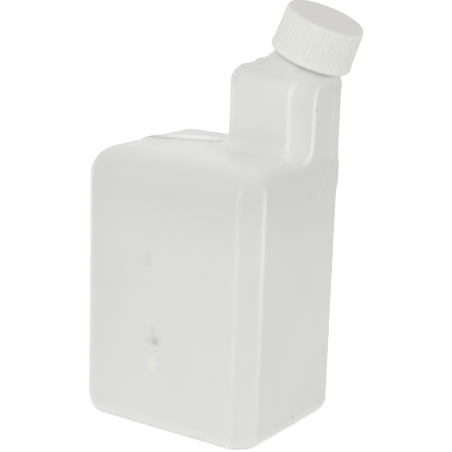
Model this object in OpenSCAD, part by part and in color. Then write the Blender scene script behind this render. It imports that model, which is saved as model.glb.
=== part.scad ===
// Fuel mixing bottle: a blown rectangular bottle with a raised measuring section at one end,
// a leaning threaded neck and a ribbed screw cap with its sealing liner.
// X runs along the wide face towards the pouring end, Y to the back, Z up from the base.

/* [Body] */
// Width of the body along its wide face
body_w = 104; // [98:1:116]
// Depth of the body from front to back
body_d = 86; // [82:1:96]
// Height of the flat top of the body
body_h = 139.5; // [112:0.5:150]
// Leg of the flat chamfer on each upright corner
corner_chamfer = 9.2; // [7:0.1:9.8]
// Radius that softens both edges of every chamfer
chamfer_edge_r = 4; // [2:0.1:5]
// Radius of the shoulder round the top of the body
shoulder_r = 16; // [12:0.5:18]
// Radius round the foot of the body
base_r = 8; // [5:0.5:9]
// Width of the flat rim that the bottle stands on
base_rim = 7; // [4:0.5:12]
// Depth of the shallow hollow under the base
base_hollow = 1.2; // [0.6:0.1:2]
// Wall thickness of the blown shell
wall = 1.5; // [1.2:0.1:2]

/* [Raised section] */
// Width of the raised section along X
raised_w = 49.5; // [47:0.5:56]
// Depth of the raised section along Y
raised_d = 44; // [43:0.5:50]
// Height of the top of the raised section above the base
raised_h = 182; // [180:0.5:184]
// Radius of the hollow flare at the foot of the raised section
flare_r = 8; // [4:0.5:10]
// Radius of the shoulder on the front and left of the raised section
raised_shoulder_r = 10; // [6:0.5:11]
// Amount that its shoulder draws in above the flush walls
flush_shoulder = 0.6; // [0.4:0.1:1]

/* [Neck] */
// Angle that the neck leans towards the pouring end
neck_lean = 21.5; // [18:0.5:24]
// Outer diameter of the neck below its thread
neck_od = 33; // [30:0.5:33]
// Wall thickness of the neck
neck_wall = 1.9; // [1.6:0.1:2.4]
// Length of the neck above its seat
neck_length = 24; // [22:0.5:26]
// Distance from the end wall to the centre of the neck's seat
neck_inset = 16; // [15.9:0.1:18]
// Distance from the back wall to the neck's axis
neck_back_inset = 17.6; // [17.2:0.1:20]
// Height of the centre of the neck's seat
neck_seat_h = 180.3; // [179:0.1:181]
// Width of the ledge round the neck at the top of its hollow foot
seat_ledge = 0.4; // [0.3:0.1:0.5]
// Height of the cap's foot above the hollow foot of the neck
neck_foot_gap = 1.2; // [0.8:0.1:2]

/* [Thread] */
// Rise of the thread in one turn
thread_pitch = 4.2; // [3.8:0.1:4.6]
// Number of turns of the thread
thread_turns = 1.5; // [1.2:0.1:1.8]
// Height of the thread above its wall
thread_depth = 1.4; // [1.1:0.1:1.5]
// Width of the neck's thread at its root
thread_root_w = 2.2; // [1.8:0.1:2.3]
// Width of either thread at its crest
thread_crest_w = 0.9; // [0.7:0.1:1.1]
// Running clearance between the two threads, across their radius
thread_clearance = 0.35; // [0.3:0.05:0.5]

/* [Cap] */
// Outer diameter of the band at the foot of the cap
cap_od = 41.6; // [41:0.2:44]
// Height of the cap
cap_h = 22; // [21:0.5:26]
// Taper of the cap's side, as the loss of radius from foot to top
cap_taper = 0.7; // [0:0.1:1]
// Thickness of the cap's flat top
cap_top = 2; // [1.4:0.1:3]
// Number of grip ribs round the cap
rib_count = 48; // [36:2:60]
// Radius of each grip rib
rib_r = 0.62; // [0.4:0.02:0.7]
// Height of the grip ribs over the cap's side
rib_h = 0.35; // [0.2:0.05:0.4]
// Height of the plain band under the ribs
cap_band_h = 2.2; // [1.5:0.1:3.5]
// Radius of the rounded rim of the cap's top
cap_rim_r = 1.2; // [0.8:0.1:1.8]
// Thickness of the sealing liner
liner_t = 1.5; // [1:0.1:2]
// Gap round the liner inside the cap
liner_gap = 0.5; // [0.3:0.1:0.8]

/* [Parting ridge] */
// Height of the pinch-off ridge over the top of the body
ridge_h = 2.4; // [1:0.1:2.8]
// Thickness of the pinch-off ridge
ridge_t = 1; // [0.8:0.1:1.6]
// Place of the ridge in Y at the left end of the body
ridge_left_y = -2; // [-4:0.5:10]
// Place of the ridge in Y where it meets the raised section
ridge_right_y = 12.5; // [6:0.5:20]

/* [Hidden] */

plastic_white = "#dcdcda";
cap_white = "#e1e1dc";
liner_white = "#f0f0ec";

edge_steps = 4;
shoulder_steps = 9;
flare_steps = 7;
base_steps = 5;
seat_steps = 5;
top_sweep = 58;
corner_points = 2 * edge_steps + 2;
ring_points = 4 * corner_points;

neck_r = neck_od / 2;
bore_r = neck_r - neck_wall;
end_x = body_w / 2;
back_y = body_d / 2;
raised_x = end_x - raised_w;
raised_y = back_y - raised_d;
seat = [end_x - neck_inset, back_y - neck_back_inset, neck_seat_h];
axis = [sin(neck_lean), 0, cos(neck_lean)];
cap_foot = neck_length + liner_t + cap_top - cap_h;
neck_foot_h = cap_foot - neck_foot_gap;
cap_bore_r = neck_r + thread_depth + thread_clearance;
cap_thread_root_w = thread_root_w - 0.3;
thread_start = 4;
band_r = cap_od / 2;
rib_sunk = 0.25;
facets = 96;
thread_step = 12;
thread_fade_steps = 2;
ridge_steps = 14;

// Share of an inset that a 45 degree chamfer loses when its outline shrinks
chamfer_loss = 2 - sqrt(2);

function shrunk_chamfer(d) = max(corner_chamfer - chamfer_loss * d, 1.2);
function shrunk_edge(d) = max(chamfer_edge_r - d, 0.6);

// One chamfered corner with both edges rounded, as distances along its two sides.
// The rounding is held under the size at which its two ends would meet.
function corner(c, edge_r) =
    let (r = min(edge_r, 1.6 * c), t = r * tan(22.5), a = 45 / edge_steps)
    concat(
        [for (i = [0 : edge_steps]) [c + t - r * sin(a * i), r - r * cos(a * i)]],
        [for (i = [edge_steps : -1 : 0]) [r - r * cos(a * i), c + t - r * sin(a * i)]]);

// The chamfered corner beside a side that leans by the angle q. Where it sweeps over the
// shoulder and through the flare it turns into a round corner of the same reach.
function swept_corner(w, q) =
    let (c = shrunk_chamfer(w),
         r = shrunk_edge(w),
         reach = c + r * tan(22.5),
         t = min(max((q - 15) / 45, 0), 1),
         swept_r = r + (0.96 * reach - r) * t * t * (3 - 2 * t))
    corner(reach - swept_r * tan(22.5), swept_r);

// A ring of the shell. The front and left sides lean by the angle q, from upright to level,
// so the chamfers beside them sweep over the shoulder. The flush corner stays at height zq.
function ring(x0, x1, y0, y1, z, q, far, near, zq) = concat(
    [for (p = near) [x1 - p[0], y0 + p[1] * cos(q), z - p[1] * sin(q)]],
    [for (p = near) [x1 - p[1], y1 - p[0], zq]],
    [for (p = near) [x0 + p[0] * cos(q), y1 - p[1], z - p[0] * sin(q)]],
    [for (p = far) [x0 + p[1], y0 + p[0], z]]);

function level_ring(d, z, w) =
    let (i = d + w, p = corner(shrunk_chamfer(i), shrunk_edge(w)))
    ring(i - end_x, end_x - i, i - back_y, back_y - i, z, 0, p, p, z);

// The hollow under the base, the rim that it stands on and the rounded foot
function base_rings(w) = concat(
    [level_ring(base_r + base_rim + 1, base_hollow + w, w),
     level_ring(base_r + base_rim - (w > 0 ? 1 : 0), w, w)],
    [for (i = [0 : base_steps])
        let (r = base_r - w, a = 90 * i / base_steps)
        level_ring(r - r * sin(a), w + r - r * cos(a), w)]);

// The shoulder of the body, swept round to the level top
function shoulder_rings(w) =
    let (r = shoulder_r - w,
         reach = swept_corner(w, 0)[0][0])
    [for (i = [0 : shoulder_steps])
        let (q = 90 * i / shoulder_steps,
             d = w + r - r * cos(q),
             near = swept_corner(w, q),
             far = corner(max(shrunk_chamfer(d), 2.5), max(chamfer_edge_r - w / 2, 1)),
             lag = 1 - i / (shoulder_steps + 1))
        ring(d - end_x, end_x - w, d - back_y, back_y - w,
             body_h - shoulder_r + r * sin(q), q, far, near,
             body_h - w - reach - (reach + 2) * lag)];

// The hollow flare from the top of the body into the walls of the raised section
function flare_rings(w) =
    let (r = flare_r + w,
         reach = swept_corner(w, 0)[0][0])
    [for (i = [0 : flare_steps])
        let (q = 90 - 90 * i / flare_steps,
             near = swept_corner(w, q),
             d = r - r * cos(90 - q),
             out = r - r * sin(90 - q),
             far = corner(shrunk_chamfer(w) + chamfer_loss * out, shrunk_edge(w) + out))
        ring(raised_x + w - out, end_x - w, raised_y + w - out, back_y - w,
             body_h - w + d, q, far, near,
             body_h - w + d - reach * sin(q) - 1 + i / flare_steps)];

// Height of the top of the raised section, which follows the leaning seat on the neck's side
function top_z(x) = min(raised_h, seat[2] - (x - seat[0]) * tan(neck_lean));

function raised_shoulder_rings(w) =
    [for (i = [0 : shoulder_steps])
        let (a = top_sweep * i / shoulder_steps,
             r = raised_shoulder_r - w,
             d = w + r - r * cos(a),
             e = w + flush_shoulder * (1 - cos(a)),
             k = corner(max(shrunk_chamfer(w + (d + e) / 2), 2.5), shrunk_edge(w)),
             flat = ring(raised_x + d, end_x - e, raised_y + d, back_y - e, 0, 0, k, k, 0))
        [for (p = flat) [p[0], p[1], top_z(p[0]) - raised_shoulder_r + r * sin(a)]]];

// A round ring on the leaning axis, at a height above the neck's seat for each of its points
function neck_ring(r, heights) =
    [for (i = [0 : ring_points - 1])
        let (a = -90 + 360 * (i + 0.5) / ring_points,
             h = heights[i])
        [seat[0] + r * cos(a) * cos(neck_lean) + h * axis[0],
         seat[1] + r * sin(a),
         seat[2] - r * cos(a) * sin(neck_lean) + h * axis[2]]];

// A point on the soft curve that leaves p0 for p1 and bends to reach p2
function bend(p0, p1, p2, t) = (1 - t) * (1 - t) * p0 + 2 * t * (1 - t) * p1 + t * t * p2;

// Heights along the neck at which its side would meet the top of the raised section
function top_heights(r, w) =
    [for (p = neck_ring(r, [for (i = [1 : ring_points]) 0]))
        (top_z(p[0]) - w - p[2]) / cos(neck_lean)];

// Share by which the hollow foot is filled out to a plain slope, most at its front right
function fill(i) = 0.45 + 0.45 * cos(360 * (i + 0.5) / ring_points - 45);

// The hollow foot of the neck, from the shoulder of the raised section up to the neck's side
function seat_rings(w) =
    let (r = (w == 0 ? neck_r : bore_r) + seat_ledge,
         from = raised_shoulder_rings(w)[shoulder_steps],
         by = neck_ring(r, top_heights(r, w)),
         to = neck_ring(r, [for (i = [1 : ring_points]) neck_foot_h]))
    [for (k = [1 : seat_steps])
        [for (i = [0 : ring_points - 1])
            let (middle = (from[i] + to[i]) / 2)
            bend(from[i], by[i] + (middle - by[i]) * fill(i), to[i], k / seat_steps)]];

function shell_rings(w) = concat(
    base_rings(w),
    shoulder_rings(w),
    flare_rings(w),
    raised_shoulder_rings(w),
    seat_rings(w));

// Closed solid through a stack of rings with equal numbers of points
module loft(rings) {
    n = len(rings[0]);
    last = len(rings) - 1;
    polyhedron(
        points = [for (r = rings) each r],
        faces = concat(
            [[for (i = [0 : n - 1]) i]],
            [for (k = [0 : last - 1]) for (i = [0 : n - 1])
                [k * n + i, (k + 1) * n + i, (k + 1) * n + (i + 1) % n]],
            [for (k = [0 : last - 1]) for (i = [0 : n - 1])
                [k * n + i, (k + 1) * n + (i + 1) % n, k * n + (i + 1) % n]],
            [[for (i = [n - 1 : -1 : 0]) last * n + i]]),
        convexity = 6);
}

// Places its children on the leaning axis, at a height above the neck's seat
module on_neck(h = 0) {
    translate(seat) rotate([0, neck_lean, 0]) translate([0, 0, h]) children();
}

// Helical thread ridge that grows out of a round wall and fades back into it.
// Its height is positive on the outside of the neck and negative inside the cap.
module thread(root_r, height, root_w, start_h) {
    steps = round(thread_turns * 360 / thread_step);
    bury = 0.4;
    tip = thread_crest_w / 2;
    half = tip + (root_w / 2 - tip) * (1 + bury / abs(height));
    order = height > 0 ? [3 : -1 : 0] : [0 : 3];
    loft([for (i = [0 : steps])
        let (a = thread_step * i,
             grown = min(1, 1.2 * min(i, steps - i) / thread_fade_steps - 0.2),
             foot = root_r - bury * sign(height),
             top = root_r + height * grown,
             h = start_h + thread_pitch * a / 360,
             section = [[foot, -half], [top, -tip], [top, tip], [foot, half]])
        [for (j = order) [section[j][0] * cos(a), section[j][0] * sin(a), h + section[j][1]]]]);
}

// Pinch-off ridge along the parting line, on a path of places in X and Z. It eases back from
// y0 to y1, as the parting line does between the body and the neck.
module ridge(path, heights, y0, y1) {
    foot = ridge_t / 2;
    tip = ridge_t / 5;
    bury = 0.5;
    last = len(path) - 1;
    loft([for (i = [0 : last])
        let (y = y0 + (y1 - y0) * (1 - cos(180 * i / last)) / 2, h = heights[i])
        [for (p = [[-foot, -bury], [foot, -bury], [tip, h], [-tip, h]])
            [path[i][0], y + p[0], path[i][1] + p[1]]]]);
}

// Height of a round shoulder's surface at a distance in from its wall
function shoulder_drop(r, d) = d < r ? r - sqrt(r * r - (r - d) * (r - d)) : 0;

// The ridge along the top of the body, which grows from the shoulder to the raised section
module body_ridge() {
    x0 = shoulder_r * 0.45 - end_x;
    path = [for (i = [0 : ridge_steps])
        let (x = x0 + (raised_x - x0) * i / ridge_steps)
        [x, body_h - shoulder_drop(shoulder_r, x + end_x)]];
    ridge(path, [for (i = [0 : ridge_steps]) ridge_h * min(1, 0.1 + 2.5 * i / ridge_steps)],
        ridge_left_y, ridge_right_y);
}

// The lower ridge from the raised section's shoulder to the foot of the neck. It rises soon
// and then dies out.
module raised_ridge() {
    r = raised_shoulder_r;
    neck_x = seat[0] - (neck_r + seat_ledge) * cos(neck_lean);
    neck_z = seat[2] + (neck_r + seat_ledge) * sin(neck_lean);
    down = (raised_h - neck_z) / cos(neck_lean);
    arc = [for (a = [top_sweep - 15, top_sweep - 7, top_sweep])
        [raised_x + r - r * cos(a), raised_h - r + r * sin(a)]];
    low = [neck_x + down * axis[0], raised_h];
    to = [neck_x + neck_foot_h * axis[0], neck_z + neck_foot_h * axis[2]];
    by = low + ((arc[2] + to) / 2 - low) * fill(ring_points * 0.75);
    path = concat(arc, [for (t = [0.1 : 0.1 : 0.75]) bend(arc[2], by, to, t)]);
    last = len(path) - 1;
    ridge(path, [for (i = [0 : last]) ridge_h * 0.6 * max(0.1, sin(180 * sqrt(i / last)))],
        seat[1], seat[1]);
}

module neck_outside() {
    on_neck() rotate_extrude($fn = facets)
        polygon([[0, -3], [neck_r, -3], [neck_r, neck_length - 0.5],
            [neck_r - 0.5, neck_length], [0, neck_length]]);
}

module neck_bore() {
    on_neck(-wall - 4) cylinder(r = bore_r, h = neck_length + wall + 8, $fn = facets);
}

module bottle() {
    color(plastic_white) difference() {
        union() {
            loft(shell_rings(0));
            body_ridge();
            raised_ridge();
            neck_outside();
            on_neck(cap_foot) thread(neck_r, thread_depth, thread_root_w, thread_start);
        }
        loft(shell_rings(wall));
        neck_bore();
    }
}

// Profile of the cap's outside at a distance off its side, with a rounded rim
module cap_profile(side_r) {
    top_r = side_r - cap_taper;
    rim = [for (a = [0 : 22.5 : 90])
        [top_r - cap_rim_r + cap_rim_r * cos(a), cap_h - cap_rim_r + cap_rim_r * sin(a)]];
    rotate_extrude($fn = facets)
        polygon(concat([[0, 0], [side_r, 0]], rim, [[0, cap_h]]));
}

// Solid of revolution that cuts the tops of the ribs off at a slant, just under the rim
module rib_limit() {
    top_r = band_r - rib_sunk - cap_taper;
    rotate_extrude($fn = facets)
        polygon([[0, 0], [band_r + 1, 0], [band_r + 1, cap_h - rib_r - 2 - band_r + top_r],
            [top_r - rib_r - 1, cap_h - rib_r * 0.2], [0, cap_h - rib_r * 0.2]]);
}

// The grip: a slimmer tapered side with ribs that reach its full radius
module cap_grip() {
    rib_centre = band_r - rib_sunk - rib_r;
    cap_profile(band_r - rib_sunk - rib_h);
    intersection() {
        for (i = [0 : rib_count - 1])
            rotate(360 * i / rib_count) translate([rib_centre, 0, cap_band_h / 2])
                rotate([0, -atan(cap_taper / cap_h), 0])
                    cylinder(r = rib_r, h = cap_h, $fn = 16);
        rib_limit();
    }
}

module cap_band() {
    rotate_extrude($fn = facets)
        polygon([[0, 0], [band_r - 0.4, 0], [band_r, 0.4], [band_r, cap_band_h],
            [band_r - rib_sunk - rib_r, cap_band_h + 0.8], [0, cap_band_h + 0.8]]);
}

module screw_cap() {
    color(cap_white) on_neck(cap_foot) {
        difference() {
            union() {
                cap_band();
                cap_grip();
            }
            translate([0, 0, -1]) cylinder(r = cap_bore_r, h = cap_h - cap_top + 1, $fn = facets);
        }
        thread(cap_bore_r, -thread_depth, cap_thread_root_w, thread_start + thread_pitch / 2);
    }
}

module sealing_liner() {
    color(liner_white) on_neck(neck_length)
        cylinder(r = cap_bore_r - liner_gap, h = liner_t, $fn = facets);
}

bottle();
screw_cap();
sealing_liner();
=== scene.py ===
"""Looks for the fuel mixing bottle: a translucent blown bottle with a ribbed screw cap."""

import math

import bmesh
import bpy
from bpy.props import FloatProperty, FloatVectorProperty, IntProperty, PointerProperty
from mathutils import Matrix, Vector


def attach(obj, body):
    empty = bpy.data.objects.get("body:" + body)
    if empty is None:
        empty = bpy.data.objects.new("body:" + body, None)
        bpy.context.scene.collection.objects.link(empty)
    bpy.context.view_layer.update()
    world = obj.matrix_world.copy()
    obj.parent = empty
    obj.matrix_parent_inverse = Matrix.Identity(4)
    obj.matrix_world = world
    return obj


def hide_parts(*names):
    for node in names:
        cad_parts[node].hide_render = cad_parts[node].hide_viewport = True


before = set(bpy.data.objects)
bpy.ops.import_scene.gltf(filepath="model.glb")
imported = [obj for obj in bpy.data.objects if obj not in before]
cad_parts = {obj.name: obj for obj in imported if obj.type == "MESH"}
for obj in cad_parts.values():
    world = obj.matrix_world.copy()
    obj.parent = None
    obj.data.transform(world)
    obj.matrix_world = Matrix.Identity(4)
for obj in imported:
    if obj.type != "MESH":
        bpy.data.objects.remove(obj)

bl_info = {
    "name": "Fuel mixing bottle",
    "version": (1, 0, 0),
    "blender": (4, 5, 0),
    "location": "View3D > Sidebar > Bottle",
    "description": "Builds a blown mixing bottle, its screw cap and liner around the packed frame",
    "category": "Add Mesh",
}

MM = 0.001
# Steps of each curve, and of a thread's turn
SHOULDER_STEPS = 14
FLARE_STEPS = 10
BASE_STEPS = 8
EDGE_STEPS = 6
SEAT_STEPS = 10
RIDGE_STEPS = 24
RIB_STEPS = 4
RIM_STEPS = 8
THREAD_STEPS = 60
LINER_STEPS = 96
# How far the raised shoulder turns before the neck's hollow foot takes over
TOP_SWEEP = math.radians(58)
# Reach of a rounded chamfer edge along its wall, as a share of its radius
EDGE_STRIDE = math.tan(math.pi / 8)
CORNER_POINTS = 2 * EDGE_STEPS + 2
RING_POINTS = 4 * CORNER_POINTS
# Loss of a chamfer's leg for each millimetre that its outline shrinks
CHAMFER_LOSS = 2 - math.sqrt(2)
LEAST_LEG = 2.5 * MM
# Lean of a side at which its chamfer starts to turn round, over which it does so, and how round
ROUND_FROM, ROUND_OVER = math.radians(15), math.radians(45)
ROUNDNESS = 0.96
# Angle over which a thread fades into its wall
THREAD_FADE = math.radians(24)
# How deep a thread or a ridge is set into its wall, so that they are one
THREAD_BURY, RIDGE_BURY = 0.4 * MM, 0.5 * MM
# Width of a rib with its rounded foot, as a share of its sharp one
RIB_SPREAD = 1.6
# How much painted light the plastic takes, as a paler colour: a painted glow on the raised section
# and on the top of the body, then painted highlights along the first edge and the last edge and
# painted light on the face of the chamfers, then a painted highlight on the parting line
RAISED_PALE = 0.1
TOP_PALE = 0.6
RAISED_EDGES = (0.35, 1.0, 0.15)
BODY_EDGES = (0.12, 0.75, 0.0)
BASE_EDGES = (0.0, 0.1, 0.0)
LINE_PALE = 0.15
# Heights in millimetres from which and to which painted light makes the plastic paler down the wall
# and at the foot, and over which its colour turns greyer up to the shoulder, and how much. The grey
# ends over the last pair of heights.
WALL_PALE = (90, 0, 0.12)
FOOT_PALE = (9, 0, 1.0)
SHOULDER_GREY = (92, 131, 0.18)
GREY_END = (133, 139.5)
# Heights in millimetres over which the parting line eases aside, and over which it comes up
LINE_EASE = (86, 142)
LINE_FADE = (96, 124)
# Edges sharper than this stay sharp in the shading
SMOOTH_ANGLE = math.radians(40)
# The floor's half size in metres and its colour, and what is added to the lit floor where it is
# seen directly, so that it shows white
FLOOR_HALF = 3.0
FLOOR_COLOUR = "#f0f0f0"
FLOOR_GLOW = 0.45
# The point that the camera and the strips look at, and each strip's place and width, in metres
AIM = (-0.007, 0.0233, 0.0927)
FRONT_STRIP = ((0.234, -0.765, 0.3), 0.06)
END_STRIP = ((0.713, 0.363, 0.3), 0.04)
STRIP_HEIGHT = 0.6
# Width of the camera's picture plane in millimetres
SENSOR_WIDTH = 36
# Small rounds, as points in millimetres. The neck's root: out from its side, and up
NECK_ROOT = [(0.12, 0.15), (0, 0.5)]
# The neck's lip: in from its side, and down from its top
NECK_LIP = [(0, 0.5), (0.15, 0.15), (0.5, 0)]
# The lip of the neck's bore and of the cap's bore: out from the bore, and in from its mouth
BORE_LIP = [(0.4, 0), (0.1, 0.1), (0, 0.4)]
# The cap's lip: in from the band's side, up from its edge, and how much of the ribs is left
CAP_LIP = [(0.52, 0.7, 0.9), (0.3, 0.2, 0.6), (0.1, -0.3, 0.2), (0, -0.8, 0)]
# The cap's foot: in from the band's side, and up
CAP_FOOT = [(0, 0.9), (0.12, 0.45), (0.45, 0.12), (0.9, 0)]
# Where the ribs end at the top: down from the cap's top, and how much of the ribs is left
RIB_TOPS = [(1.5, 0.15), (1.8, 0.5), (2.1, 0.8), (2.5, 1), (4, 1)]
# By how much the cap is smaller than its solid, so that its rounder edges stay inside it
HAIR = 0.01 * MM


def length(name, description, millimetres):
    """A size in metres for a property group, with its default given in millimetres."""
    return FloatProperty(name=name, description=description, default=millimetres * MM,
                         unit="LENGTH", subtype="DISTANCE", precision=4)


def colour(name, description, hex_value):
    """A colour for a property group, with its default given as sRGB hex."""
    return FloatVectorProperty(name=name, description=description, default=linear(hex_value),
                               size=4, subtype="COLOR", min=0, max=1)


def linear(hex_value):
    """An sRGB hex colour as linear red, green, blue and alpha."""
    parts = [int(hex_value[i:i + 2], 16) / 255 for i in (1, 3, 5)]
    return [p / 12.92 if p <= 0.04045 else ((p + 0.055) / 1.055) ** 2.4 for p in parts] + [1.0]


class BottleSizes(bpy.types.PropertyGroup):
    """Sizes of the blown bottle"""

    body_w: length("Body width", "Width of the body along its wide face", 104)
    body_d: length("Body depth", "Depth of the body from front to back", 86)
    body_h: length("Body height", "Height of the flat top of the body", 139.5)
    chamfer: length("Corner chamfer", "Leg of the flat chamfer on each upright corner", 9.2)
    edge_r: length("Chamfer edge radius", "Radius that softens both edges of a chamfer", 4)
    shoulder_r: length("Shoulder radius", "Radius of the shoulder round the top of the body", 16)
    base_r: length("Base radius", "Radius round the foot of the body", 8)
    base_rim: length("Base rim", "Width of the flat rim that the bottle stands on", 7)
    base_hollow: length("Base hollow", "Depth of the hollow under the base", 1.2)
    wall: length("Wall", "Wall thickness of the blown shell", 1.5)
    raised_w: length("Raised width", "Width of the raised section", 49.5)
    raised_d: length("Raised depth", "Depth of the raised section", 44)
    raised_h: length("Raised height", "Height of the top of the raised section", 182)
    flare_r: length("Flare radius", "Radius of the flare at the foot of the raised section", 8)
    raised_r: length("Raised shoulder radius", "Radius of the raised section's shoulder", 10)
    flush_in: length("Flush draw in", "How far its shoulder draws in over the flush walls", 0.6)
    neck_lean: FloatProperty(name="Neck lean", description="Lean of the neck to the pouring end",
                             default=math.radians(21.5), unit="ROTATION", subtype="ANGLE")
    neck_od: length("Neck diameter", "Outer diameter of the neck below its thread", 33)
    neck_wall: length("Neck wall", "Wall thickness of the neck", 1.9)
    neck_length: length("Neck length", "Length of the neck above its seat", 24)
    neck_inset: length("Neck inset", "From the end wall to the centre of the seat", 16)
    neck_back_inset: length("Neck back inset", "From the back wall to the neck's axis", 17.6)
    neck_seat_h: length("Seat height", "Height of the centre of the neck's seat", 180.3)
    seat_ledge: length("Seat ledge", "Width of the ledge at the top of the hollow foot", 0.4)
    # 0.4 mm less than in the solid, so that the dark line under the cap stays thin
    neck_foot_gap: length("Neck foot gap", "Height of the cap's foot above the hollow foot", 0.8)
    thread_pitch: length("Thread pitch", "Rise of the thread in one turn", 4.2)
    thread_turns: FloatProperty(name="Thread turns", description="Number of turns of the thread",
                                default=1.5)
    thread_depth: length("Thread depth", "Height of the thread above its wall", 1.4)
    thread_root: length("Thread root", "Width of the thread at its root", 2.2)
    thread_crest: length("Thread crest", "Width of the thread at its crest", 0.9)
    thread_gap: length("Thread clearance", "Running clearance between the two threads", 0.35)
    ridge_h: length("Ridge height", "Height of the pinch-off ridge over the body's top", 2.4)
    ridge_t: length("Ridge thickness", "Thickness of the pinch-off ridge", 1)
    ridge_y: length("Ridge left", "Place of the ridge at the left end of the body", -2)
    ridge_right_y: length("Ridge right", "Place of the ridge at the raised section", 12.5)
    line_w: length("Parting line width", "Half width of the line where the mould halves met", 2.2)
    line_h: length("Parting line height", "How far that line stands out of the wall", 0.12)


class CapSizes(bpy.types.PropertyGroup):
    """Sizes of the screw cap and its liner"""

    band_d: length("Cap diameter", "Outer diameter of the band at the foot of the cap", 41.6)
    height: length("Cap height", "Height of the cap", 22)
    taper: length("Taper", "Loss of radius from the foot of the side to its top", 0.7)
    top: length("Top thickness", "Thickness of the cap's flat top", 2)
    rib_count: IntProperty(name="Ribs", description="Number of grip ribs", default=48, min=3)
    rib_r: length("Rib radius", "Radius of each grip rib", 0.62)
    rib_h: length("Rib height", "How far each rib stands out of the side", 0.35)
    rib_sunk: length("Rib step", "How far the ribs lie inside the band", 0.25)
    band_h: length("Band height", "Height of the plain band under the ribs", 2.2)
    rim_r: length("Rim radius", "Radius of the rounded rim of the top", 1.2)
    liner_t: length("Liner thickness", "Thickness of the sealing liner", 1.5)
    liner_gap: length("Liner gap", "Gap round the liner inside the cap", 0.5)


class Finishes(bpy.types.PropertyGroup):
    """Colours of the three plastics, with paler, greyer and warmer ones that paint light and shade
    """

    bottle: colour("Bottle", "Natural polyethylene of the bottle", "#dddddb")
    bottle_shade: colour("Bottle, clouded", "Where the wall is a little greyer", "#d8d8d5")
    # Paler colour that paints light: a glow through the plastic, and highlights along the chamfer
    # edges
    bottle_pale: colour("Bottle, pale", "Thick plastic, and the chamfer edges", "#f4f4f1")
    # Greyer colour that paints shade on the walls
    bottle_grey: colour("Bottle, grey", "The greyer parts of the walls", "#c7c6c1")
    # Warmer colour that paints warm light on the end wall
    bottle_warm: colour("Bottle, warm", "The end wall's lower part", "#dedcd2")
    smear: colour("Smear", "Pale smear on the front wall", "#ecece2")
    mark: colour("Marks", "Grey marks of handling", "#a8a8a4")
    cap: colour("Cap", "White polyethylene of the cap", "#e0e0db")
    # Painted shade on the cap's flat top
    cap_top_painted_shade: colour("Cap, top", "The cap's flat top, greyed by handling", "#d4d3cf")
    liner: colour("Liner", "Foam of the sealing liner", "#f0f0ec")


class Studio(bpy.types.PropertyGroup):
    """Camera and lights"""

    azimuth: FloatProperty(name="Azimuth", description="Direction of the camera round the bottle",
                           default=math.radians(33.32), subtype="ANGLE", unit="ROTATION")
    elevation: FloatProperty(name="Elevation", description="Height of the camera as an angle",
                             default=math.radians(14.13), subtype="ANGLE", unit="ROTATION")
    roll: FloatProperty(name="Roll", description="Turn of the picture round its middle",
                        default=math.radians(1.85), subtype="ANGLE", unit="ROTATION")
    distance: length("Distance", "From the camera to the point that it looks at", 732.4)
    lens: FloatProperty(name="Lens", description="Focal length in millimetres", default=111.5)
    room_light: FloatProperty(name="Room light", description="Mean strength of the room's light",
                              default=0.915)
    room_tilt: FloatVectorProperty(name="Room tilt", size=3, default=(0.16, -0.42, -0.16),
                                   description="How the room's light grows along each axis")
    front_strip: FloatProperty(name="Front strip", description="Power of the front strip in watts",
                               default=0.5)
    end_strip: FloatProperty(name="End strip", description="Power of the end strip in watts",
                             default=0.25)


# Rings of the shell


def corner(leg, edge_r, first=0.0, last=0.0, face=0.0):
    """One chamfered corner with both edges rounded, as distances along its two sides, and how much
    painted light it takes, as a paler colour: painted highlights along its first and last edge, and
    painted light on the chamfer's face."""
    r = min(edge_r, 1.6 * leg)
    reach = leg + r * EDGE_STRIDE
    angles = [math.pi / 4 * i / EDGE_STEPS for i in range(EDGE_STEPS + 1)]
    half = [(reach - r * math.sin(a), r - r * math.cos(a), math.sin(4 * a), a / math.pi * 4)
            for a in angles]
    return ([(u, v, first * edge + face * flat) for u, v, edge, flat in half]
            + [(v, u, last * edge + face * flat) for u, v, edge, flat in reversed(half)])


def ring(x0, x1, y0, y1, z, fold, far, near, flush_z, pale=0.0):
    """A ring of the shell. The front and left sides lean by the angle fold, from upright to level,
    so the chamfers beside them sweep over the shoulder. The fourth number of a point is how much
    painted light it takes, as a paler colour. Where pale is given, that painted light holds on the
    sides that lean."""
    out, down = math.cos(fold), math.sin(fold)
    reach = near[0][0]
    points = [(x1 - u, y0 + v * out, z - v * down, max(e, pale * u / reach)) for u, v, e in near]
    points += [(x1 - v, y1 - u, flush_z, e) for u, v, e in near]
    points += [(x0 + u * out, y1 - v, z - u * down, max(e, pale * v / reach)) for u, v, e in near]
    points += [(x0 + v, y0 + u, z, max(e, pale)) for u, v, e in far]
    return [Vector(p) for p in points]


def turns(count, angle=math.pi / 2):
    """Angles from 0 to a given one, in equal steps."""
    return [angle * i / count for i in range(count + 1)]


def bend(p0, p1, p2, t):
    """A point on the soft curve that leaves p0 for p1 and bends to reach p2."""
    return p0.lerp(p1, t).lerp(p1.lerp(p2, t), t)


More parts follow.
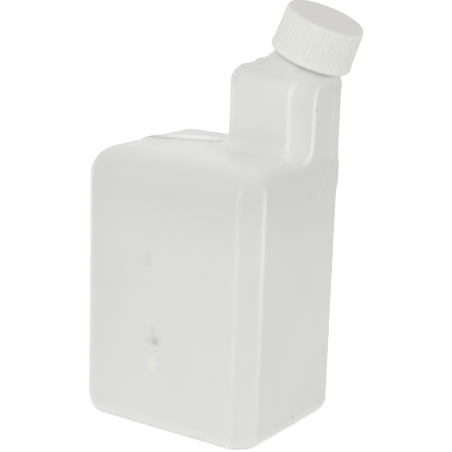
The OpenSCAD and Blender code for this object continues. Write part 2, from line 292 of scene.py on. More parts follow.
class Shell:
    """The outline of the bottle's skin, at a distance in from its outside."""

    def __init__(self, size, inset):
        self.s = size
        self.w = inset
        self.end_x = size.body_w / 2
        self.back_y = size.body_d / 2
        self.raised_x = self.end_x - size.raised_w
        self.raised_y = self.back_y - size.raised_d
        self.edge = max(size.edge_r - inset, 0.6 * MM)
        self.reach = self.leg(inset) + self.edge * EDGE_STRIDE

    def leg(self, inset):
        """Leg of the chamfer once the outline has shrunk by an inset."""
        return max(self.s.chamfer - CHAMFER_LOSS * inset, 1.2 * MM)

    def swept(self, q, rising=False):
        """The chamfered corner beside a side that leans by the angle q. Where it sweeps over
        the shoulder and through the flare it turns into a round corner of the same reach."""
        t = min(max((q - ROUND_FROM) / ROUND_OVER, 0), 1)
        t = t * t * (3 - 2 * t)
        r = self.edge + (ROUNDNESS * self.reach - self.edge) * t
        # Painted highlights along the chamfer's edges, which fade as it turns round
        pale = [share * (1 - t) for share in (RAISED_EDGES if rising else BODY_EDGES)]
        return corner(self.reach - r * EDGE_STRIDE, r, *pale)

    def level(self, inset, z):
        i = inset + self.w
        cut = corner(self.leg(i), self.edge, *BASE_EDGES)
        return ring(i - self.end_x, self.end_x - i, i - self.back_y, self.back_y - i, z, 0,
                    cut, cut, z)

    def base(self):
        s, w = self.s, self.w
        r = s.base_r - w
        rim = s.base_r + s.base_rim
        rings = [self.level(rim + 1 * MM, s.base_hollow + w),
                 self.level(rim - (1 * MM if w else 0), w)]
        return rings + [self.level(r - r * math.sin(a), w + r - r * math.cos(a))
                        for a in turns(BASE_STEPS)]

    def shoulder(self):
        s, w = self.s, self.w
        r = s.shoulder_r - w
        rings = []
        for i, q in enumerate(turns(SHOULDER_STEPS)):
            d = w + r - r * math.cos(q)
            far = corner(max(self.leg(d), LEAST_LEG), max(s.edge_r - w / 2, 1 * MM))
            lag = 1 - 0.9 * i / SHOULDER_STEPS
            flush_z = s.body_h - w - self.reach - (self.reach + 2 * MM) * lag
            # The last rings take painted light, a paler colour for a glow on the body's top
            rings.append(ring(d - self.end_x, self.end_x - w, d - self.back_y, self.back_y - w,
                              s.body_h - s.shoulder_r + r * math.sin(q), q, far,
                              self.swept(q), flush_z,
                              TOP_PALE * (i / SHOULDER_STEPS) ** 3))
        return rings

    def flare(self):
        s, w = self.s, self.w
        r = s.flare_r + w
        rings = []
        for i, a in enumerate(turns(FLARE_STEPS)):
            q = math.pi / 2 - a
            rise, out = r - r * math.cos(a), r - r * math.sin(a)
            far = corner(self.leg(w) + CHAMFER_LOSS * out, self.edge + out)
            z = s.body_h - w + rise
            flush_z = z - self.reach * math.sin(q) - (1 - i / FLARE_STEPS) * MM
            # Painted light, a paler colour: as much as on the body's top at the flare's foot,
            # easing to the raised section's
            rings.append(ring(self.raised_x + w - out, self.end_x - w, self.raised_y + w - out,
                              self.back_y - w, z, q, far, self.swept(q, True), flush_z,
                              RAISED_PALE + (TOP_PALE - RAISED_PALE) * (1 - i / FLARE_STEPS) ** 2))
        return rings

    def top_z(self, x):
        """Height of the raised section's top, which follows the leaning seat on its right."""
        seat_x = self.end_x - self.s.neck_inset
        return min(self.s.raised_h,
                   self.s.neck_seat_h - (x - seat_x) * math.tan(self.s.neck_lean))

    def raised_shoulder(self):
        s, w = self.s, self.w
        rings = []
        r = s.raised_r - w
        for a in turns(SHOULDER_STEPS, TOP_SWEEP):
            d = w + r - r * math.cos(a)
            e = w + s.flush_in * (1 - math.cos(a))
            leg = max(self.leg(w + (d + e) / 2), LEAST_LEG)
            # Painted highlights on the chamfer's edges, fading over the shoulder, and painted light
            # on the raised section
            near = corner(leg, self.edge, *[share * math.cos(a) for share in RAISED_EDGES])
            flat = ring(self.raised_x + d, self.end_x - e, self.raised_y + d, self.back_y - e,
                        0, 0, corner(leg, self.edge), near, 0, RAISED_PALE)
            rings.append([Vector((p.x, p.y, self.top_z(p.x) - s.raised_r + r * math.sin(a), p.w))
                          for p in flat])
        return rings

    def neck(self, r, heights):
        """A round ring on the leaning axis, at a height above the seat for each point."""
        place = seat_matrix(self.s)
        step = 2 * math.pi / RING_POINTS
        angles = [step * (i + 0.5) - math.pi / 2 for i in range(RING_POINTS)]
        points = [place @ Vector((r * math.cos(a), r * math.sin(a), h))
                  for a, h in zip(angles, heights)]
        return [Vector((p.x, p.y, p.z, 0)) for p in points]

    def level_neck(self, r, height):
        return self.neck(r, [height] * RING_POINTS)

    def seat(self, neck_foot_h):
        """The hollow foot of the neck, from the raised shoulder up to the neck's side."""
        s = self.s
        r = s.neck_od / 2 + s.seat_ledge - (s.neck_wall if self.w else 0)
        down = [(self.top_z(p.x) - self.w - p.z) / math.cos(s.neck_lean)
                for p in self.level_neck(r, 0)]
        start, by = self.raised_shoulder()[-1], self.neck(r, down)
        end = self.level_neck(r, neck_foot_h)
        by = [b.lerp((a + c) / 2, fill((i + 0.5) / RING_POINTS))
              for i, (a, b, c) in enumerate(zip(start, by, end))]
        return [[self.paler(bend(*points, k / SEAT_STEPS), k) for points in zip(start, by, end)]
                for k in range(1, SEAT_STEPS + 1)]

    def paler(self, point, step):
        """A point of the neck's hollow foot, which takes painted light, a paler colour that
        lightens the shade under the cap, most towards the neck.
        """
        point.w = RAISED_PALE + (1 - RAISED_PALE) * (step / SEAT_STEPS) ** 2
        return point

    def rings(self, neck_foot_h):
        return (self.base() + self.shoulder() + self.flare() + self.raised_shoulder()
                + self.seat(neck_foot_h))


def fill(turn):
    """Share by which the neck's hollow foot is filled out to a plain slope, most at its front
    right. The turn runs from 0 at the front to 1."""
    return 0.45 + 0.45 * math.cos(2 * math.pi * turn - math.pi / 4)


def seat_matrix(size):
    """Places what is drawn upright at the origin on the neck's leaning axis."""
    seat = (size.body_w / 2 - size.neck_inset, size.body_d / 2 - size.neck_back_inset,
            size.neck_seat_h)
    return Matrix.Translation(seat) @ Matrix.Rotation(size.neck_lean, 4, "Y")


def foot_of_cap(size, cap):
    """Height of the closed cap's foot above the neck's seat."""
    return size.neck_length + cap.liner_t + cap.top - cap.height


# Mesh tools


def layers(bm):
    """The layers that hold each vertex's place in its ring and how much painted light it takes, as
    a paler colour.
    """
    return (bm.verts.layers.int.get("place") or bm.verts.layers.int.new("place"),
            bm.verts.layers.float.get("pale") or bm.verts.layers.float.new("pale"))


def put(bm, verts, points):
    """Moves the vertices of a loop to a ring, whose points may carry a share of painted light as
    well.
    """
    place, pale = layers(bm)
    for v in verts:
        point = points[v[place]]
        v.co = point[:3]
        v[pale] = point[3] if len(point) > 3 else 0.0


def first_loop(bm, points):
    """Starts a loft with a circle that has one vertex for each point of its first ring."""
    place, _ = layers(bm)
    made = bmesh.ops.create_circle(bm, cap_ends=True, radius=1, segments=len(points))["verts"]
    for i, v in enumerate(made):
        v[place] = i
    put(bm, made, points)
    return list({e for v in made for e in v.link_edges})


def grow(bm, edges, points):
    """Extrudes the open loop of a loft and moves it to its next ring."""
    made = bmesh.ops.extrude_edge_only(bm, edges=edges)["geom"]
    new = {v for v in made if isinstance(v, bmesh.types.BMVert)}
    put(bm, new, points)
    return [e for e in made if isinstance(e, bmesh.types.BMEdge) and set(e.verts) <= new]


def loft(bm, rings):
    """A closed solid through a list of rings."""
    edges = first_loop(bm, rings[0])
    for points in rings[1:]:
        edges = grow(bm, edges, points)
    bmesh.ops.contextual_create(bm, geom=edges)


def thread(bm, size, wall_r, height, root_w, start, place):
    """A helical ridge spun from its section, which fades into its wall at both ends. Its height
    is negative inside the cap."""
    tip = size.thread_crest / 2
    half = tip + (root_w / 2 - tip) * (1 + THREAD_BURY / abs(height))
    foot = wall_r - math.copysign(THREAD_BURY, height)
    top = wall_r + height
    section = [(foot, -half), (top, -tip), (top, tip), (foot, half)]
    steps = round(size.thread_turns * THREAD_STEPS)
    part = bmesh.new()
    verts = [part.verts.new((r, 0, start + z)) for r, z in section]
    face = part.faces.new(verts)
    bmesh.ops.spin(part, geom=[face], cent=(0, 0, 0), axis=(0, 0, 1),
                   dvec=(0, 0, size.thread_pitch * size.thread_turns / steps),
                   angle=2 * math.pi * size.thread_turns, steps=steps)
    total = 2 * math.pi * size.thread_turns
    rise = size.thread_pitch / (2 * math.pi)
    for v in part.verts:
        r = math.hypot(v.co.x, v.co.y)
        if abs(r - top) < abs(r - foot):
            turn = min(max((v.co.z - start) / rise, 0), total)
            # The crest starts a little inside its wall, so that the thread's end closes there
            grown = min(1, 1.2 * min(turn, total - turn) / THREAD_FADE - 0.2)
            new_r = wall_r + height * grown
            v.co.x *= new_r / r
            v.co.y *= new_r / r
    bmesh.ops.recalc_face_normals(part, faces=part.faces)
    bmesh.ops.transform(part, matrix=place, verts=part.verts)
    join(bm, part)


def join(bm, part):
    """Adds one mesh to another and frees it."""
    held = bpy.data.meshes.new("held")
    part.to_mesh(held)
    part.free()
    bm.from_mesh(held)
    bpy.data.meshes.remove(held)


def finish_mesh(bm, name, material, body, *nodes):
    """Makes a smooth-shaded object from a mesh and sets it in place of its solids."""
    bmesh.ops.recalc_face_normals(bm, faces=bm.faces)
    mesh = bpy.data.meshes.new(name)
    bm.to_mesh(mesh)
    bm.free()
    if "place" in mesh.attributes:
        mesh.attributes.remove(mesh.attributes["place"])
    mesh.materials.append(material)
    piece = bpy.data.objects.new(name, mesh)
    bpy.context.scene.collection.objects.link(piece)
    mesh.shade_smooth()
    mesh.set_sharp_from_angle(angle=SMOOTH_ANGLE)
    even = piece.modifiers.new("Even shading", "WEIGHTED_NORMAL")
    even.keep_sharp = True
    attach(piece, body)
    if nodes:
        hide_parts(*nodes)
    return piece


# Materials


def add_node(tree, kind, inputs=(), **settings):
    """Adds a shader node with its settings, and its inputs as values or links."""
    node = tree.nodes.new(kind)
    for key, value in settings.items():
        setattr(node, key, value)
    for key, value in dict(inputs).items():
        if isinstance(value, bpy.types.NodeSocket):
            tree.links.new(value, node.inputs[key])
        else:
            node.inputs[key].default_value = value
    return node


def add_mix(tree, factor, first, second):
    """Adds a mix of two colours and gives its colour output."""
    mix = add_node(tree, "ShaderNodeMix", {0: factor, 6: first, 7: second}, data_type="RGBA")
    return mix.outputs[2]


def add_range(tree, value, low, high, to_low, to_high):
    """Adds a soft step from one value to another and gives its output."""
    step = add_node(tree, "ShaderNodeMapRange",
                    {0: value, 1: low, 2: high, 3: to_low, 4: to_high},
                    interpolation_type="SMOOTHSTEP")
    return step.outputs[0]


def add_height_range(tree, height, span, to_low, to_high):
    """Adds a soft step over a span of heights in millimetres."""
    return add_range(tree, height, span[0] * MM, span[1] * MM, to_low, to_high)


def new_material(name):
    """A material with its output, ready for a shader."""
    material = bpy.data.materials.new(name)
    material.use_nodes = True
    material.node_tree.nodes.clear()
    return material, material.node_tree


def near_point(tree, coords, centre, radii, strength):
    """A soft spot round a point in millimetres: its strength at the centre, 0 at its edge."""
    moved = add_node(tree, "ShaderNodeVectorMath", {0: coords, 1: Vector(centre) * MM},
                     operation="SUBTRACT")
    scaled = add_node(tree, "ShaderNodeVectorMath", {0: moved.outputs[0], 1: Vector(radii) * MM},
                      operation="DIVIDE")
    far = add_node(tree, "ShaderNodeVectorMath", {0: scaled.outputs[0]}, operation="LENGTH")
    return add_range(tree, far.outputs["Value"], 1.0, 0.0, 0.0, strength)


# Handling marks and specks on the front and end walls: centre and half sizes in millimetres,
# and how strongly each shows
MARKS = [
    ((-2.9, -43, 47.3), (2.6, 3, 2.0), 0.35), ((-3.0, -43, 48.4), (5.2, 3, 3.6), 0.34),
    ((-4.7, -43, 53.2), (2.4, 3, 4.6), 0.16), ((-7.6, -43, 47.0), (2.0, 3, 1.8), 0.25),
    ((-4.0, -43, 46.2), (5.4, 3, 1.7), 0.2), ((-8.3, -43, 90.3), (3.4, 3, 3.0), 0.14),
    ((-9.2, -43, 86.4), (5.0, 3, 3.4), 0.11), ((29.5, -43, 114.2), (5.4, 3, 2.4), 0.11),
    ((52, 9.9, 162.6), (2, 1.5, 1.3), 0.75), ((52, 12.5, 155.1), (2, 1.1, 1.1), 0.5),
    ((52, 26.8, 133.4), (2, 1.6, 1.5), 0.35), ((52, 7.6, 120.6), (2, 2.4, 2.0), 0.1),
    ((52, 0.3, 7.6), (2, 2.0, 2.4), 0.4), ((51, 10.6, 5.2), (2, 1.0, 1.0), 0.7),
    ((50, -32.5, 7.6), (3, 2.4, 2.6), 0.3),
]
# Soft areas of another tone, drawn one over the other: centre and half sizes in millimetres, how
# strongly each shows, and the name of its colour
AREAS = [
    # A painted highlight: paler on the body's top beside the raised section
    ((-12, 4, 139.5), (26, 30, 8), 1.0, "bottle_pale"),
    # A pale smear on the front wall
    ((-4.4, -43, 35.8), (5.0, 3, 5.0), 0.6, "smear"),
    # Painted warm light on the end wall, and painted shade on its upper part
    ((64, 6, 40), (22, 110, 170), 0.6, "bottle_warm"),
    ((60, 22, 160), (16, 90, 125), 0.66, "bottle_grey"),
    # Painted shade: greyer on the left of the front, and on the shoulder and the foot of the raised
    # section
    ((-66, -43, 100), (66, 24, 110), 0.28, "bottle_grey"),
    ((16, 8, 183), (42, 34, 18), 0.45, "bottle_grey"),
    ((26, -6, 144), (24, 16, 14), 0.25, "bottle_grey"),
]


def parting_line(tree, coords, size):
    """The faint line down the end wall where the mould halves met: 1 on it and 0 beside it. It
    eases over from the neck's side to the middle of the body and fades on the way down."""
    x, y, z = add_node(tree, "ShaderNodeSeparateXYZ", {0: coords}).outputs
    neck_y = size.body_d / 2 - size.neck_back_inset
    path = add_height_range(tree, z, LINE_EASE, 0.0, neck_y)
    off = add_node(tree, "ShaderNodeMath", {0: y, 1: path}, operation="SUBTRACT").outputs[0]
    side = add_node(tree, "ShaderNodeMath", {0: off}, operation="ABSOLUTE").outputs[0]
    line = add_range(tree, side, size.line_w, 0.0, 0.0, 1.0)
    end = add_range(tree, x, size.body_w / 2 - 2 * MM, size.body_w / 2 - 1 * MM, 0.0, line)
    return add_height_range(tree, z, LINE_FADE, 0.0, end)


def natural_polyethylene(finish, size):
    """Natural high density polyethylene, blow moulded. It is milky and slightly translucent, with
    a satin skin, a faint orange peel from the mould and light marks of handling."""
    material, tree = new_material("natural_polyethylene_blow_moulded")
    coords = add_node(tree, "ShaderNodeTexCoord").outputs["Object"]
    # Uneven wall of a blown shell: soft clouds about 28 mm across
    cloud = add_node(tree, "ShaderNodeTexNoise",
                     {"Vector": coords, "Scale": 1 / (28 * MM), "Detail": 2.0, "Roughness": 0.5})
    body = add_mix(tree, cloud.outputs["Fac"], finish.bottle, finish.bottle_shade)
    # Painted light, as a paler colour: a glow on the raised section, the body's top, the flare and
    # the neck's hollow foot, and painted highlights along the chamfers and on the parting line
    pale = add_node(tree, "ShaderNodeAttribute", attribute_name="pale")
    line = parting_line(tree, coords, size)
    faint = add_node(tree, "ShaderNodeMath", {0: line, 1: LINE_PALE, 2: pale.outputs["Fac"]},
                     operation="MULTIPLY_ADD")
    clear = add_mix(tree, faint.outputs[0], body, finish.bottle_pale)
    # Painted light, paler down the wall and most at the foot, and greyer towards the shoulder
    height = add_node(tree, "ShaderNodeSeparateXYZ", {0: coords}).outputs["Z"]
    wall = add_height_range(tree, height, WALL_PALE, 0.0, WALL_PALE[2])
    base = add_height_range(tree, height, FOOT_PALE, wall, FOOT_PALE[2])
    lit_towards_foot = add_mix(tree, base, clear, finish.bottle_pale)
    rising = add_height_range(tree, height, SHOULDER_GREY, 0.0, SHOULDER_GREY[2])
    shoulder = add_height_range(tree, height, GREY_END, rising, 0.0)
    tone = add_mix(tree, shoulder, lit_towards_foot, finish.mark)
    for *place, name in AREAS:
        tone = add_mix(tree, near_point(tree, coords, *place), tone, getattr(finish, name))
    total = 0.0
    for mark in MARKS:
        total = add_node(tree, "ShaderNodeMath", {0: near_point(tree, coords, *mark), 1: total},
                         operation="ADD", use_clamp=True).outputs[0]
    tone = add_mix(tree, total, tone, finish.mark)
    # Orange peel of the mould, drawn at 1.6 mm, coarser than the real one so that it shows
    peel = add_node(tree, "ShaderNodeTexNoise",
                    {"Vector": coords, "Scale": 1 / (1.6 * MM), "Detail": 1.0})
    relief = add_node(tree, "ShaderNodeBump", {"Height": line, "Distance": size.line_h})
    bump = add_node(tree, "ShaderNodeBump",
                    {"Height": peel.outputs["Fac"], "Strength": 0.08, "Distance": 0.1 * MM,
                     "Normal": relief.outputs[0]})
    skin = add_node(tree, "ShaderNodeMapRange",
                    {"Value": cloud.outputs["Fac"], "To Min": 0.26, "To Max": 0.34})
    shader = add_node(tree, "ShaderNodeBsdfPrincipled",
                      {"Base Color": tone, "Roughness": skin.outputs[0], "IOR": 1.54,
                       "Subsurface Weight": 0.5, "Subsurface Scale": 3 * MM,
                       "Subsurface Radius": (1.0, 0.95, 0.85), "Normal": bump.outputs[0]})
    add_node(tree, "ShaderNodeOutputMaterial", {"Surface": shader.outputs[0]})
    return material


def white_polyethylene(finish, axis, top):
    """White polyethylene, injection moulded. It is opaque, with a satin skin that is a little
    rougher than the bottle's. The cap's axis and the place of its top on it come with it."""
    material, tree = new_material("white_polyethylene_injection_moulded")
    coords = add_node(tree, "ShaderNodeTexCoord").outputs["Object"]
    # Painted shade on its flat top, darker than the side
    along = add_node(tree, "ShaderNodeVectorMath", {0: coords, 1: axis}, operation="DOT_PRODUCT")
    shaded_top = add_range(tree, along.outputs["Value"], top - 1.6 * MM, top - 0.1 * MM, 0.0, 1.0)
    tone = add_mix(tree, shaded_top, finish.cap, finish.cap_top_painted_shade)
    # Fine moulded grain, drawn at 0.9 mm, coarser than the real one so that it shows
    grain = add_node(tree, "ShaderNodeTexNoise",
                     {"Vector": coords, "Scale": 1 / (0.9 * MM), "Detail": 2.0})
    bump = add_node(tree, "ShaderNodeBump",
                    {"Height": grain.outputs["Fac"], "Strength": 0.02, "Distance": 0.1 * MM})
    skin = add_node(tree, "ShaderNodeMapRange",
                    {"Value": grain.outputs["Fac"], "To Min": 0.38, "To Max": 0.46})
    shader = add_node(tree, "ShaderNodeBsdfPrincipled",
                      {"Base Color": tone, "Roughness": skin.outputs[0], "IOR": 1.52,
                       "Subsurface Weight": 0.3, "Subsurface Scale": 1 * MM,
                       "Subsurface Radius": (1.0, 0.95, 0.85), "Normal": bump.outputs[0]})
    add_node(tree, "ShaderNodeOutputMaterial", {"Surface": shader.outputs[0]})
    return material


def polyethylene_foam(finish):
    """White polyethylene foam, extruded in sheet and punched. It is soft and matt, with fine
    closed cells."""
    material, tree = new_material("polyethylene_foam_punched")
    coords = add_node(tree, "ShaderNodeTexCoord").outputs["Object"]
    # Closed cells about 0.5 mm across
    cells = add_node(tree, "ShaderNodeTexVoronoi", {"Vector": coords, "Scale": 1 / (0.5 * MM)})
    bump = add_node(tree, "ShaderNodeBump",
                    {"Height": cells.outputs["Distance"], "Strength": 0.3, "Distance": 0.1 * MM})
    shader = add_node(tree, "ShaderNodeBsdfPrincipled",
                      {"Base Color": finish.liner, "Roughness": 0.8, "IOR": 1.5,
                       "Normal": bump.outputs[0]})
    add_node(tree, "ShaderNodeOutputMaterial", {"Surface": shader.outputs[0]})
    return material


# Pieces


def bottle_mesh(bm, size, neck_foot_h):
    """The outside from the base to the lip of the neck, and the inside back down."""
    outside, inside = Shell(size, 0.0), Shell(size, size.wall)
    r, bore = size.neck_od / 2, size.neck_od / 2 - size.neck_wall
    top = size.neck_length
    profile = [(r + u * MM, neck_foot_h + v * MM) for u, v in NECK_ROOT]
    profile += [(r - u * MM, top - v * MM) for u, v in NECK_LIP]
    profile += [(bore + u * MM, top - v * MM) for u, v in BORE_LIP] + [(bore, neck_foot_h)]
    neck = [outside.level_neck(side, height) for side, height in profile]
    loft(bm, outside.rings(neck_foot_h) + neck + inside.rings(neck_foot_h)[::-1])


def ridge(bm, size, path, heights, from_y, to_y):
    """A pinch-off ridge on a path of places in X and Z, which eases back from one Y to another."""
    foot, tip = size.ridge_t / 2, size.ridge_t / 5
    sections = []
    for i, ((x, z), h) in enumerate(zip(path, heights)):
        y = from_y + (to_y - from_y) * (1 - math.cos(math.pi * i / (len(path) - 1))) / 2
        sections.append([(x, y - foot, z - RIDGE_BURY), (x, y + foot, z - RIDGE_BURY),
                         (x, y + foot * 0.9, z + 0.3 * h), (x, y + tip, z + h),
                         (x, y - tip, z + h), (x, y - foot * 0.9, z + 0.3 * h)])
    loft(bm, sections)


def body_ridge(bm, size):
    """The ridge along the body's top, which grows from the shoulder to the raised section."""
    end_x, r = size.body_w / 2, size.shoulder_r
    first, last = 0.45 * r - end_x, end_x - size.raised_w
    path, heights = [], []
    for i in range(RIDGE_STEPS + 1):
        x = first + (last - first) * i / RIDGE_STEPS
        short = max(r - (x + end_x), 0)
        path.append((x, size.body_h - r + math.sqrt(r * r - short * short)))
        heights.append(size.ridge_h * min(1, 0.1 + 2.5 * i / RIDGE_STEPS))
    ridge(bm, size, path, heights, size.ridge_y, size.ridge_right_y)


def raised_ridge(bm, size, neck_foot_h):
    """The lower ridge from the raised shoulder to the foot of the neck. It rises soon and then
    dies out."""
    r = size.raised_r
    left = size.body_w / 2 - size.raised_w
    side = -size.neck_od / 2 - size.seat_ledge
    place = seat_matrix(size)
    foot = place @ Vector((side, 0, 0))
    down = (size.raised_h - foot.z) / math.cos(size.neck_lean)
    arc = [Vector((left + r - r * math.cos(a), size.raised_h - r + r * math.sin(a)))
           for a in (TOP_SWEEP - math.radians(d) for d in (15, 7, 0))]
    low, to = [(place @ Vector((side, 0, h))).xz for h in (down, neck_foot_h)]
    by = low.lerp((arc[-1] + to) / 2, fill(0.75))
    path = arc + [bend(arc[-1], by, to, 0.05 * k) for k in range(1, 15)]
    heights = [0.6 * size.ridge_h * max(0.1, math.sin(math.pi * math.sqrt(i / (len(path) - 1))))
               for i in range(len(path))]
    neck_y = size.body_d / 2 - size.neck_back_inset
    ridge(bm, size, path, heights, neck_y, neck_y)


class BOTTLE_OT_add_bottle(bpy.types.Operator):
    """Adds the blown bottle with its neck, thread and pinch-off ridges"""

    bl_idname = "bottle.add_bottle"
    bl_label = "Blown bottle"

    def execute(self, context):
        size = context.scene.bottle_sizes
        cap = context.scene.cap_sizes
        bm = bmesh.new()
        cap_foot = foot_of_cap(size, cap)
        bottle_mesh(bm, size, cap_foot - size.neck_foot_gap)
        body_ridge(bm, size)
        raised_ridge(bm, size, cap_foot - size.neck_foot_gap)
        thread(bm, size, size.neck_od / 2, size.thread_depth, size.thread_root,
               4 * MM, seat_matrix(size) @ Matrix.Translation((0, 0, cap_foot)))
        material = natural_polyethylene(context.scene.bottle_finishes, size)
        piece = finish_mesh(bm, "blown_bottle", material, "bottle", "bottle")
        return {"FINISHED"}


def rib_section(cap, side):
    """One rib with a rounded foot and the valley beside it, as angles and heights over a side
    of that radius."""
    sunk = cap.rib_r - cap.rib_h
    half = RIB_SPREAD * math.sqrt(cap.rib_r ** 2 - sunk ** 2)
    points = [(half / side * i / RIB_STEPS, cap.rib_h / 2 * (1 + math.cos(math.pi * i / RIB_STEPS)))
              for i in range(-RIB_STEPS, RIB_STEPS + 1)]
    return points + [(math.pi / cap.rib_count, 0.0)]


def cap_mesh(bm, size, cap):
    """The cap's outside from the middle of its top to its foot, and its bore back up."""
    band_r = cap.band_d / 2 - HAIR
    side_r = band_r - cap.rib_sunk - cap.rib_h
    bore_r = size.neck_od / 2 + size.thread_depth + size.thread_gap
    top = cap.height - HAIR
    rim_c = side_r - cap.taper - cap.rim_r

    def side(z):
        return side_r - cap.taper * z / top

    rim = [(rim_c + cap.rim_r * math.cos(a), top - cap.rim_r + cap.rim_r * math.sin(a), 0)
           for a in turns(RIM_STEPS)][::-1]
    inner_top = top - cap.top
    profile = [(rim_c - 3 * MM, top, 0)] + rim
    profile += [(side(top - v * MM), top - v * MM, share) for v, share in RIB_TOPS]
    profile += [(side(cap.band_h + v * MM), cap.band_h + v * MM, 1) for v in (2.2, 1.2)]
    profile += [(band_r - u * MM, cap.band_h + v * MM, share) for u, v, share in CAP_LIP]
    profile += [(band_r - u * MM, v * MM, 0) for u, v in CAP_FOOT]
    profile += [(bore_r + u * MM, v * MM, 0) for u, v in BORE_LIP]
    profile += [(bore_r, inner_top - 0.3 * MM, 0), (bore_r - 0.3 * MM, inner_top, 0),
                (bore_r - 3 * MM, inner_top, 0)]
    ribs = rib_section(cap, side_r)
    turn = 2 * math.pi / cap.rib_count
    place = [(k * turn + a, h) for k in range(cap.rib_count) for a, h in ribs]
    rings = [[Vector(((r + h * share) * math.cos(a), (r + h * share) * math.sin(a), z))
              for a, h in place] for r, z, share in profile]
    loft(bm, rings)


class BOTTLE_OT_add_cap(bpy.types.Operator):
    """Adds the screw cap with its grip ribs and inner thread"""

    bl_idname = "bottle.add_cap"
    bl_label = "Screw cap"

    def execute(self, context):
        size, cap = context.scene.bottle_sizes, context.scene.cap_sizes
        place = seat_matrix(size) @ Matrix.Translation((0, 0, foot_of_cap(size, cap)))
        bm = bmesh.new()
        cap_mesh(bm, size, cap)
        bmesh.ops.transform(bm, matrix=place, verts=bm.verts)
        bore_r = size.neck_od / 2 + size.thread_depth + size.thread_gap
        thread(bm, size, bore_r, -size.thread_depth, size.thread_root - 0.3 * MM,
               4 * MM + size.thread_pitch / 2, place)
        axis = (place @ Vector((0, 0, 1, 0))).to_3d()
        top = axis.dot(place @ Vector((0, 0, cap.height)))
        material = white_polyethylene(context.scene.bottle_finishes, axis, top)
        piece = finish_mesh(bm, "ribbed_cap", material, "cap", "screw_cap")
        return {"FINISHED"}


class BOTTLE_OT_add_liner(bpy.types.Operator):
    """Adds the sealing liner in the top of the cap"""

    bl_idname = "bottle.add_liner"
    bl_label = "Sealing liner"

    def execute(self, context):
        size, cap = context.scene.bottle_sizes, context.scene.cap_sizes
        bore_r = size.neck_od / 2 + size.thread_depth + size.thread_gap
        bm = bmesh.new()
        bmesh.ops.create_circle(bm, cap_ends=True, radius=bore_r - cap.liner_gap,
                                segments=LINER_STEPS)
        made = bmesh.ops.extrude_face_region(bm, geom=bm.faces[:])["geom"]
        bmesh.ops.translate(bm, vec=(0, 0, cap.liner_t),
                            verts=[v for v in made if isinstance(v, bmesh.types.BMVert)])
        rims = [e for e in bm.edges if abs(e.verts[0].co.z - e.verts[1].co.z) < 1e-6]
        bmesh.ops.bevel(bm, geom=rims, affect="EDGES", offset=0.2 * MM, segments=2, profile=0.5,
                        material=-1, offset_type="OFFSET")
        place = seat_matrix(size) @ Matrix.Translation((0, 0, size.neck_length))
        bmesh.ops.transform(bm, matrix=place, verts=bm.verts)
        material = polyethylene_foam(context.scene.bottle_finishes)
        piece = finish_mesh(bm, "foam_liner", material, "liner", "sealing_liner")
        return {"FINISHED"}


# Stage


def add_strip(name, power, place, width):
    """An upright soft strip that looks at the bottle."""
    lamp = bpy.data.lights.new(name, "AREA")
    lamp.shape = "RECTANGLE"
    lamp.energy = power
    lamp.size = width
    lamp.size_y = STRIP_HEIGHT
    holder = bpy.data.objects.new(name, lamp)
    holder.location = place
    holder.rotation_euler = (Vector(AIM) - Vector(place)).to_track_quat("-Z", "Y").to_euler()
    bpy.context.scene.collection.objects.link(holder)


def seen_directly(tree):
    """1 for rays from the eye, a reflection or a clear body, and 0 for light on the object."""
    path = add_node(tree, "ShaderNodeLightPath")
    both = add_node(tree, "ShaderNodeMath", {0: path.outputs["Is Camera Ray"],
                                             1: path.outputs["Is Glossy Ray"]},
                    operation="MAXIMUM")
    return add_node(tree, "ShaderNodeMath", {0: both.outputs[0],
                                             1: path.outputs["Is Transmission Ray"]},
                    operation="MAXIMUM").outputs[0]


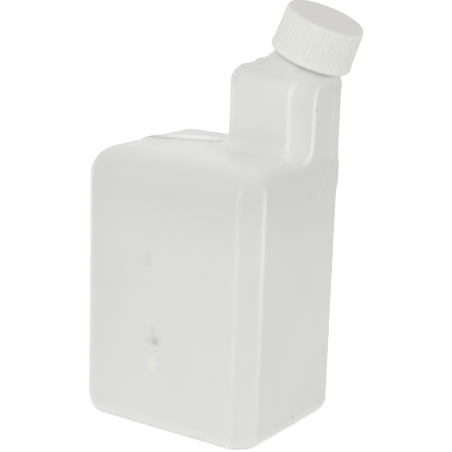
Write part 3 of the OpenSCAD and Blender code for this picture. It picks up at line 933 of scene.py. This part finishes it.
class BOTTLE_OT_add_stage(bpy.types.Operator):
    """Adds the white floor, the even light, the soft lamps and the camera"""

    bl_idname = "bottle.add_stage"
    bl_label = "Stage"

    def execute(self, context):
        studio = context.scene.bottle_studio
        scene = context.scene
        scene.view_settings.view_transform = "Standard"
        world = bpy.data.worlds.new("white_room")
        world.use_nodes = True
        tree = world.node_tree
        tree.nodes.clear()
        # The room is brightest in front of the bottle, and dimmer behind it and overhead
        where = add_node(tree, "ShaderNodeTexCoord").outputs["Generated"]
        slope = add_node(tree, "ShaderNodeVectorMath", {0: where, 1: studio.room_tilt},
                         operation="DOT_PRODUCT")
        even = add_node(tree, "ShaderNodeMath", {0: slope.outputs["Value"],
                                                 1: studio.room_light})
        strength = add_node(tree, "ShaderNodeMapRange",
                            {"Value": seen_directly(tree), "To Min": even.outputs[0],
                             "To Max": 1.0})
        light = add_node(tree, "ShaderNodeBackground", {"Color": (1, 1, 1, 1),
                                                        "Strength": strength.outputs[0]})
        add_node(tree, "ShaderNodeOutputWorld", {"Surface": light.outputs[0]})
        scene.world = world

        bm = bmesh.new()
        bmesh.ops.create_grid(bm, x_segments=1, y_segments=1, size=FLOOR_HALF)
        mesh = bpy.data.meshes.new("floor")
        bm.to_mesh(mesh)
        bm.free()
        floor = bpy.data.objects.new("floor", mesh)
        scene.collection.objects.link(floor)
        material, tree = new_material("white_floor")
        plain = add_node(tree, "ShaderNodeBsdfDiffuse", {"Color": linear(FLOOR_COLOUR)})
        share = add_node(tree, "ShaderNodeMath", {0: seen_directly(tree), 1: FLOOR_GLOW},
                         operation="MULTIPLY")
        glow = add_node(tree, "ShaderNodeEmission", {"Color": (1, 1, 1, 1),
                                                     "Strength": share.outputs[0]})
        lit = add_node(tree, "ShaderNodeAddShader", {0: plain.outputs[0], 1: glow.outputs[0]})
        add_node(tree, "ShaderNodeOutputMaterial", {"Surface": lit.outputs[0]})
        mesh.materials.append(material)

        add_strip("front_strip", studio.front_strip, *FRONT_STRIP)
        add_strip("end_strip", studio.end_strip, *END_STRIP)

        turn = (Matrix.Rotation(studio.azimuth, 4, "Z")
                @ Matrix.Rotation(math.pi / 2 - studio.elevation, 4, "X")
                @ Matrix.Rotation(studio.roll, 4, "Z"))
        back = (turn @ Vector((0, 0, 1, 0))).to_3d()
        camera = bpy.data.cameras.new("camera")
        camera.lens = studio.lens
        camera.sensor_width = SENSOR_WIDTH
        camera.clip_start = 0.01
        holder = bpy.data.objects.new("camera", camera)
        holder.matrix_world = Matrix.Translation(Vector(AIM) + back * studio.distance) @ turn
        scene.collection.objects.link(holder)
        scene.camera = holder
        return {"FINISHED"}


class BOTTLE_PT_panel(bpy.types.Panel):
    """Lists the pieces of the bottle"""

    bl_idname = "BOTTLE_PT_panel"
    bl_label = "Fuel mixing bottle"
    bl_space_type = "VIEW_3D"
    bl_region_type = "UI"
    bl_category = "Bottle"

    def draw(self, context):
        for operator in (BOTTLE_OT_add_bottle, BOTTLE_OT_add_cap, BOTTLE_OT_add_liner,
                         BOTTLE_OT_add_stage):
            self.layout.operator(operator.bl_idname)
        for group in (context.scene.bottle_sizes, context.scene.cap_sizes,
                      context.scene.bottle_finishes, context.scene.bottle_studio):
            box = self.layout.box()
            for name in group.bl_rna.properties.keys():
                if name not in ("rna_type", "name"):
                    box.prop(group, name)


CLASSES = (BottleSizes, CapSizes, Finishes, Studio, BOTTLE_OT_add_bottle, BOTTLE_OT_add_cap,
           BOTTLE_OT_add_liner, BOTTLE_OT_add_stage, BOTTLE_PT_panel)
GROUPS = {"bottle_sizes": BottleSizes, "cap_sizes": CapSizes, "bottle_finishes": Finishes,
          "bottle_studio": Studio}


def register():
    for cls in CLASSES:
        bpy.utils.register_class(cls)
    for name, group in GROUPS.items():
        setattr(bpy.types.Scene, name, PointerProperty(type=group))


def unregister():
    for name in GROUPS:
        delattr(bpy.types.Scene, name)
    for cls in reversed(CLASSES):
        bpy.utils.unregister_class(cls)


def main():
    """Builds the pieces and the stage."""
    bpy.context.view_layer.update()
    register()
    bpy.ops.bottle.add_bottle()
    bpy.ops.bottle.add_cap()
    bpy.ops.bottle.add_liner()
    bpy.ops.bottle.add_stage()


if __name__ == "__main__":
    main()
